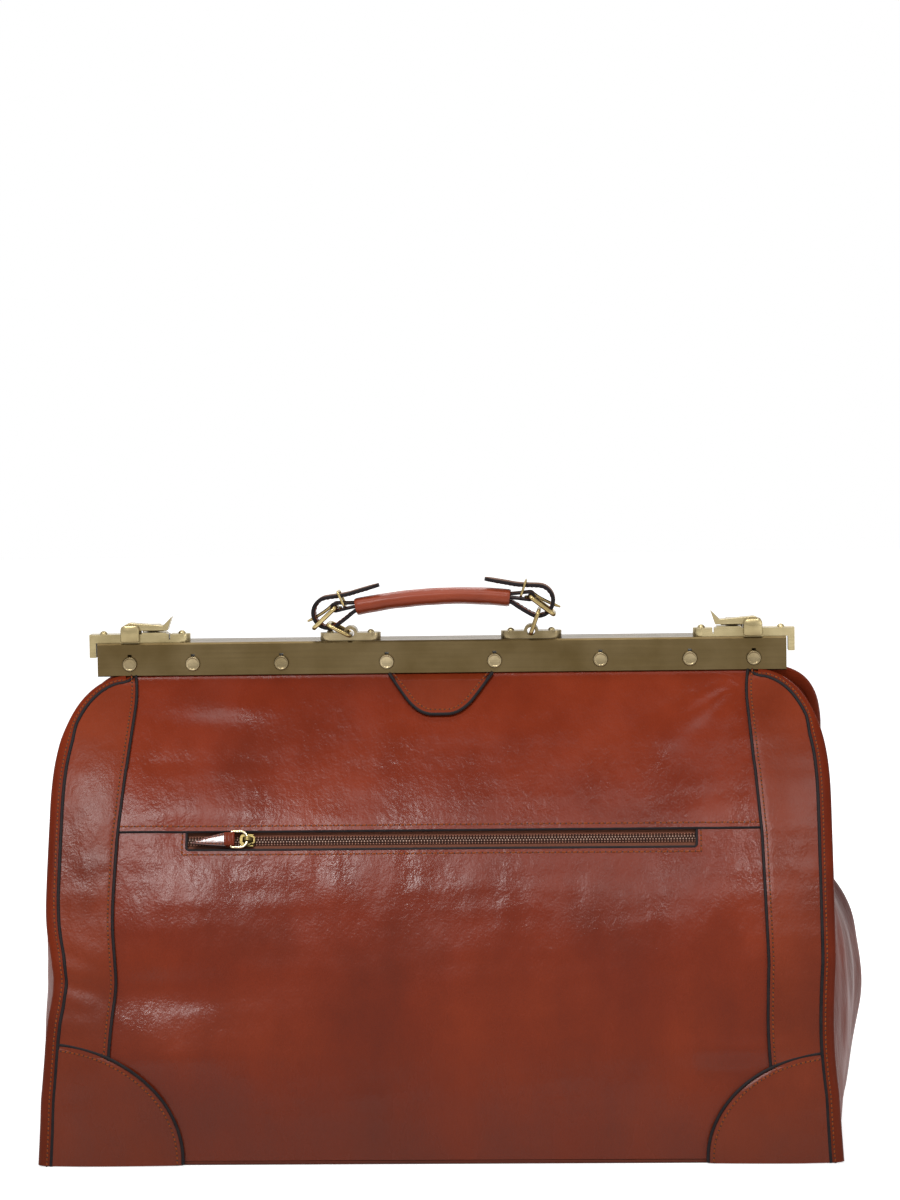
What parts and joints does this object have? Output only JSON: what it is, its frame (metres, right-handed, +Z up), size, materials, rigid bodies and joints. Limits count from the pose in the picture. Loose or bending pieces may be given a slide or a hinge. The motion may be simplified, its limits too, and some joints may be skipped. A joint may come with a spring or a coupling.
{
  "type": "travel bag",
  "caption": "Leather frame bag with two hinged brass bars, lever latches at both ends, a swaying grip handle and a zipped front pocket.",
  "frame": {"origin": "middle of the base, on the surface that the bag stands on", "axes": "+Z up, +X to the right along the bars, -Y towards the front with the zip pocket"},
  "size_m": [0.5314, 0.2648, 0.3579],
  "materials": {
    "leather": "glossy smooth leather",
    "leather_trim": "glossy smooth leather",
    "leather_bottom": "smooth leather",
    "dark_edge": "painted leather edge",
    "handle_leather": "smooth leather",
    "board": "fibre board",
    "lining_cloth": "twill cloth",
    "zip_tape": "woven tape",
    "zip_coil": "nylon coil",
    "steel": "plain steel",
    "brass": "antique brushed brass",
    "brass_small": "antique polished brass",
    "cord_core": "twisted cord"
  },
  "bodies": {
    "bag_body": {"bottom_panel": "leather_bottom", "base_board": "board", "lower_front_panel": "leather", "lower_back_panel": "leather", "gusset_left": "leather", "gusset_right": "leather", "side_strips_front": "leather_trim", "side_strips_back": "leather_trim", "edge_bindings": "dark_edge", "corner_patches_front": "leather_trim", "corner_patches_back": "leather_trim", "lining": "lining_cloth", "pocket_pouch": "lining_cloth", "zip_tape": "zip_tape", "zip_coil": "zip_coil", "hinge_pin_left": "steel", "hinge_pin_right": "steel", "hinge_plates": "steel"},
    "zip_runner": {"zip_slider": "brass_small"},
    "zip_pull": {"zip_ring": "brass_small", "zip_tab": "leather_trim"},
    "front_frame": {"front_bar": "brass", "front_bow": "steel", "front_rivets": "brass_small", "upper_front_panel": "leather", "upper_gusset_front_left": "leather", "upper_gusset_front_right": "leather", "shoulder_strips_front": "leather_trim", "bar_patch_front": "leather_trim", "latch_base_left": "brass", "latch_base_right": "brass", "latch_rivets": "brass_small", "latch_pins": "steel", "handle_base_left": "brass", "handle_base_right": "brass", "handle_base_rivets": "brass_small"},
    "back_frame": {"back_bar": "brass", "back_bow": "steel", "back_rivets": "brass_small", "upper_back_panel": "leather", "upper_gusset_back_left": "leather", "upper_gusset_back_right": "leather", "shoulder_strips_back": "leather_trim", "bar_patch_back": "leather_trim", "strike_plates": "brass"},
    "lever_left": {"latch_lever_left": "brass"},
    "lever_right": {"latch_lever_right": "brass"},
    "ring_left": {"link_left": "brass_small"},
    "ring_right": {"link_right": "brass_small"},
    "handle": {"grip_sleeve": "handle_leather", "grip_core": "cord_core", "billet_left": "handle_leather", "billet_right": "handle_leather", "chapes": "handle_leather", "buckle_left": "brass_small", "buckle_right": "brass_small", "prongs": "brass_small", "keeper_left": "brass_small", "keeper_right": "brass_small"}
  },
  "joints": [
    {"name": "frame_open_front", "type": "hinge", "parent": "bag_body", "child": "front_frame", "pos_m": [0, 0, 0.2], "axis": [1, 0, 0], "range_deg": [0, 50], "deforming": ["upper_front_panel", "upper_gusset_front_left", "upper_gusset_front_right", "shoulder_strips_front", "bar_patch_front"]},
    {"name": "frame_open_back", "type": "hinge", "parent": "bag_body", "child": "back_frame", "pos_m": [0, 0, 0.2], "axis": [-1, 0, 0], "range_deg": [0, 50], "deforming": ["upper_back_panel", "upper_gusset_back_left", "upper_gusset_back_right", "shoulder_strips_back", "bar_patch_back"]},
    {"name": "latch_left", "type": "hinge", "parent": "front_frame", "child": "lever_left", "pos_m": [-0.2016, -0.0088, 0.3255], "axis": [0, -1, 0], "range_deg": [0, 85]},
    {"name": "latch_right", "type": "hinge", "parent": "front_frame", "child": "lever_right", "pos_m": [0.2016, -0.0088, 0.3255], "axis": [0, 1, 0], "range_deg": [0, 85]},
    {"name": "handle_sway", "type": "hinge", "parent": "front_frame", "child": "ring_left", "pos_m": [-0.0586, -0.0088, 0.3215], "axis": [0, 1, 0], "range_deg": [0, 34]},
    {"name": "handle_turn", "type": "hinge", "parent": "ring_left", "child": "handle", "pos_m": [-0.07245, -0.0088, 0.32868], "axis": [0, 1, 0], "range_deg": [-34, 0]},
    {"name": "ring_right_turn", "type": "hinge", "parent": "front_frame", "child": "ring_right", "pos_m": [0.0586, -0.0088, 0.3215], "axis": [0, 1, 0], "range_deg": [0, 34]},
    {"name": "zip_slide", "type": "slide", "parent": "bag_body", "child": "zip_runner", "axis": [1, 0, 0], "range_m": [0, 0.27]},
    {"name": "zip_pull_swing", "type": "hinge", "parent": "zip_runner", "child": "zip_pull", "pos_m": [-0.121, -0.08129, 0.19826], "axis": [0, 0.4565, 0.8897], "range_deg": [0, 150]}
  ],
  "couplings": [
    {"joint": "frame_open_back", "follows": "frame_open_front", "ratio": 1},
    {"joint": "handle_turn", "follows": "handle_sway", "ratio": -0.87},
    {"joint": "ring_right_turn", "follows": "handle_sway", "ratio": 0.82}
  ]
}
